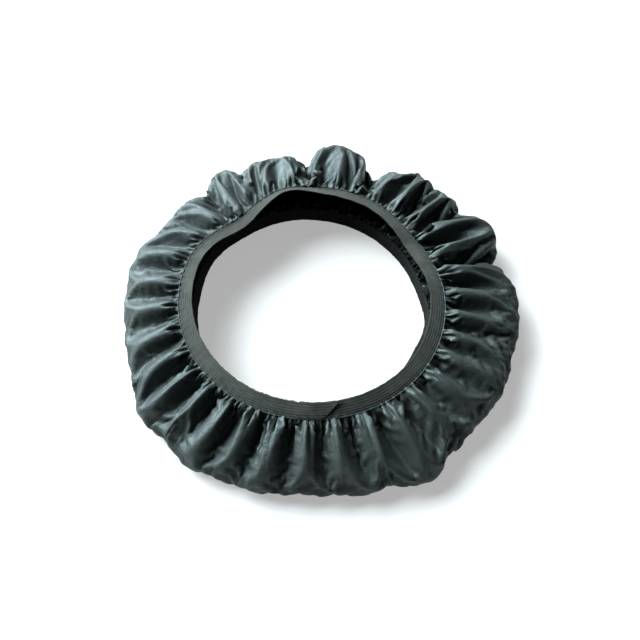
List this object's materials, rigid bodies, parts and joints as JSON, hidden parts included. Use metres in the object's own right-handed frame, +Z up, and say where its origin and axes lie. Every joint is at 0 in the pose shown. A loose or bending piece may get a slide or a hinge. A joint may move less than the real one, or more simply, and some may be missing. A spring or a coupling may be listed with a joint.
{
  "type": "spare tyre cover",
  "caption": "Elasticated fabric ring that wraps the tread of a spare tyre, gathered onto wide elastic round a central opening.",
  "frame": {"origin": "on the surface that the cover lies on, under the middle of its bounding box", "axes": "+Z up through the central opening, out of the front side of the cover; +X to the right and +Y away, as seen from the side where the front elastic's ends overlap"},
  "size_m": [0.6614, 0.6474, 0.0849],
  "materials": {
    "coated_cloth": "dark grey polyester with a semi-gloss coating",
    "elastic_webbing": "matte ribbed knitted elastic",
    "thread": "matte polyester sewing thread"
  },
  "bodies": {
    "back_hem": {"back_shell": "coated_cloth", "back_cross_seam": "coated_cloth", "back_hem_roll": "coated_cloth", "back_elastic": "elastic_webbing", "back_stitch_row_1": "thread", "back_stitch_row_2": "thread", "back_bar_tack_1": "thread", "back_bar_tack_2": "thread"},
    "front_hem": {"front_shell": "coated_cloth", "front_cross_seam": "coated_cloth", "front_hem_roll": "coated_cloth", "front_elastic": "elastic_webbing", "front_stitch_row_1": "thread", "front_stitch_row_2": "thread", "front_bar_tack_1": "thread", "front_bar_tack_2": "thread"}
  },
  "joints": [
    {"name": "front_hem_lift", "type": "slide", "parent": "back_hem", "child": "front_hem", "axis": [0, 0, 1], "range_m": [0, 0.06]}
  ]
}
